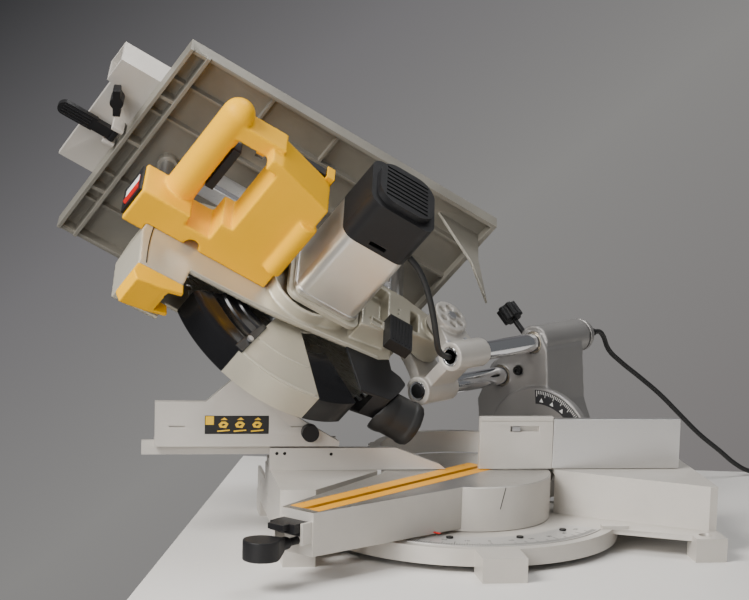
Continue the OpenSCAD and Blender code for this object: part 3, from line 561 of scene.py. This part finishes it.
SIGNS = (-341, -320, -298)
square = on_decal([(-364, 146.2), (-353.5, 146.2), (-353.5, 157.2), (-364, 157.2)])
marks("label_square", WORLD, "sliding_fence", "label_yellow", [square], (0, 0.04, 0))
signs = []
for x in SIGNS:
    signs.append(blob(x, 6.5, 4.6, (0.3, 1.2, 2.0, 3.0, 3.9, 5.2)))
    signs.append(on_decal([(x - 8, 137), (x + 8, 138.4), (x + 8, 140), (x - 8, 138.6)]))
    signs.append(on_decal([(x - 4, 152.4), (x + 5, 152.4), (x + 1, 155.6)]))
marks("label_signs", WORLD, "sliding_fence", "label_yellow", signs, (0, 0.04, 0))
inner = [blob(x, 3, 1.8, (0.3, 1.6, 3.0, 4.4), 0.02) for x in SIGNS]
marks("label_signs_inner", WORLD, "sliding_fence", "ink", inner, (0, 0.03, 0))

# ---- motor lead and the strain relief of the mains lead
lead = [(178, -217.2, 96), (176, -196, 88), (150, -160, 64), (114, -128, 50), (94, -111, 61), (88, -90, 78.6)]
tube("motor_lead_skin", lead, 4, HEAD, "head", "rubber", "motor_lead")
EXIT = (88, 330.2, 119)
sleeve = [(9, 306), (9, 316), (6.6, 317), (6.4, 319), (5.4, 319.4), (6.0, 321), (5.2, 322), (5.8, 324),
          (4.8, 325), (5.2, 327), (4.3, 328), (4.2, 330), (0.5, 330), (0.5, 306)]
relief = lathe("Y", (EXIT[0], EXIT[2]), sleeve, 40)
place(relief, "strain_relief", YOKE, "carriage", "rubber", "cord_relief")
relief.data.shade_smooth()

# ---- mains lead: out of the relief, down to the bench, then into a loose coil, the plug beside it
BACK = Vector((sin(MITRE), cos(MITRE), 0))
COIL = (563, 425)
COIL_START = -110
COIL_END = 0.46
TURNS = ((45, 3.6), (38, 3.6), (31, 3.6), (31, 10.6), (38, 10.6), (45, 10.6), (45, 17.6))
STEPS = 24
STEP_ACROSS = 0.28
exit_p = YOKE @ Vector(EXIT)
route = [exit_p, exit_p + 4 * BACK, exit_p + 8 * BACK, exit_p + 18 * BACK - Vector((0, 0, 4))]
route += [Vector(p) for p in (
    (232, 271, 203), (255, 286, 183), (289, 305, 158), (325, 320, 130), (360, 332, 98), (395, 341, 66),
    (429, 347, 40), (456, 353, 19), (482, 360, 6), (508, 367, 3.8), (522, 374.5, 3.7), (535, 379.8, 3.6))]
for k, (r, z) in enumerate(TURNS):
    last = k == len(TURNS) - 1
    next_r, next_z = TURNS[k] if last else TURNS[k + 1]
    for i in range(STEPS):
        part = i / STEPS
        if last and part > COIL_END:
            break
        s = max(0, (part - 1 + STEP_ACROSS) / STEP_ACROSS)
        s = s * s * (3 - 2 * s)
        a = radians(COIL_START + 360 * part)
        here = r + (next_r - r) * s
        route.append(Vector((COIL[0] + here * cos(a), COIL[1] + here * sin(a), z + (next_z - z) * s)))
route += [Vector((572, 470.5, 15.5)), Vector((566, 473.4, 14.2))]
cable = round_curve("mains_cable", 3.5, 5, "rubber")
cable.resolution_u = 4
spline = cable.splines.new("BEZIER")
spline.bezier_points.add(len(route) - 1)
for b, q in zip(spline.bezier_points, route):
    b.co = q / 1000
    b.handle_left_type = "AUTO"
    b.handle_right_type = "AUTO"
mains = new_object("mains_cable", cable)
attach(mains, "base")
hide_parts("cord", "cord_coil")
done.update(("cord", "cord_coil"))
plug_skin = moulded(cad_copy("plug", "black"), 1.0, 6)

# ---- the rest: the CAD's own shapes with small rounded edges
for node, mat in FINISH.items():
    if node not in done:
        crisp(cad_copy(node, mat))


# ---------------------------------------------------------------- bench and backdrop, in metres
def stage_mesh(name, verts, faces, mat):
    mesh = bpy.data.meshes.new(name)
    mesh.from_pydata(verts, [], faces)
    mesh.materials.append(mat)
    new_object(name, mesh)


def shaded_backdrop():
    """a plain glow, darkest at the upper left, that lightens across and down and then dims again."""
    mat = bpy.data.materials.new("backdrop")
    mat.use_nodes = True
    tree = mat.node_tree
    for n in list(tree.nodes):
        tree.nodes.remove(n)
    coords = shader_node(tree, "TexCoord")
    split = shader_node(tree, "SeparateXYZ", {"Vector": coords.outputs["Generated"]})
    down = shader_node(tree, "Math", {0: split.outputs["Z"]})
    down.operation = "MULTIPLY_ADD"
    down.inputs[1].default_value = -1.348
    down.inputs[2].default_value = 0.657
    across = shader_node(tree, "Math", {0: split.outputs["X"], 2: down.outputs[0]})
    across.operation = "MULTIPLY_ADD"
    across.inputs[1].default_value = 1.068
    tones = shader_node(tree, "ValToRGB", {"Fac": across.outputs[0]})
    stops = tones.color_ramp.elements
    stops[0].position = 0.0
    stops[0].color = (0.046, 0.046, 0.049, 1)
    stops[1].position = 0.92
    stops[1].color = (0.205, 0.192, 0.190, 1)
    stops.new(0.26).color = (0.180, 0.175, 0.181, 1)
    stops.new(0.5).color = (0.262, 0.257, 0.250, 1)
    glow = shader_node(tree, "Emission", {"Color": tones.outputs["Color"]}, Strength=1.0)
    shader_node(tree, "OutputMaterial", {"Surface": glow.outputs["Emission"]})
    return mat


THICK = 0.04
plan = [(-0.733, -1.3), (-0.264, 0.517), (0.494, 0.381), (0.62, 0.76), (1.6, 0.75), (1.6, -1.3)]
corners = len(plan)
sides = [(i, (i + 1) % corners, (i + 1) % corners + corners, i + corners) for i in range(corners)]
stage_mesh("bench", [(x, y, 0.0) for x, y in plan] + [(x, y, -THICK) for x, y in plan],
           [tuple(range(corners))[::-1], tuple(range(corners, 2 * corners))] + sides,
           material("bench", (0.72, 0.70, 0.67), 0.5, bump=0.05, grain=400))
wall = [(-1.2, 2.4, -1.6), (2.6, 2.4, -1.6), (2.6, 2.4, 2.2), (-1.2, 2.4, 2.2)]
stage_mesh("backdrop", wall, [(0, 1, 2, 3)], shaded_backdrop())


# ---------------------------------------------------------------- light and camera
def area(name, place_at, target, size, power, color=(1, 1, 1)):
    light = bpy.data.lights.new(name, "AREA")
    light.energy = power
    light.size = size
    light.color = color
    o = new_object(name, light)
    o.location = place_at
    o.rotation_euler = (Vector(target) - Vector(place_at)).to_track_quat("-Z", "Y").to_euler()


area("key", (-1.6, -0.9, 1.8), (-0.1, 0, 0.2), 1.1, 82, (1, 0.98, 0.95))
area("front_left", (-1.5, -1.9, 0.8), (-0.1, -0.1, 0.15), 0.9, 26, (1, 0.98, 0.96))
area("fill", (1.7, -1.8, 1.2), (0, 0, 0.2), 1.4, 7, (0.96, 0.98, 1))
area("top", (0.5, 0.4, 2.2), (0, 0, 0.1), 1.0, 22)
world = bpy.data.worlds.new("world")
scene.world = world
world.use_nodes = True
sky = world.node_tree.nodes["Background"]
sky.inputs["Color"].default_value = (0.62, 0.63, 0.65, 1)
sky.inputs["Strength"].default_value = 0.22

YAW = 0.157
PITCH = 0.129
ROLL = 0.028
EYE = (-0.586253, -2.746903, 0.66834)
SENSOR = 36
LENS = 105.741
forward = Vector((sin(YAW) * cos(PITCH), cos(YAW) * cos(PITCH), -sin(PITCH)))
right = Vector((cos(YAW), -sin(YAW), 0))
up = right.cross(forward)
cam_data = bpy.data.cameras.new("camera")
cam_data.sensor_width = SENSOR
cam_data.lens = LENS
cam_data.clip_end = 20
cam = new_object("camera", cam_data)
turn = Matrix((right * cos(ROLL) + up * sin(ROLL), up * cos(ROLL) - right * sin(ROLL), -forward))
cam.matrix_world = Matrix.Translation(EYE) @ turn.transposed().to_4x4()
scene.camera = cam
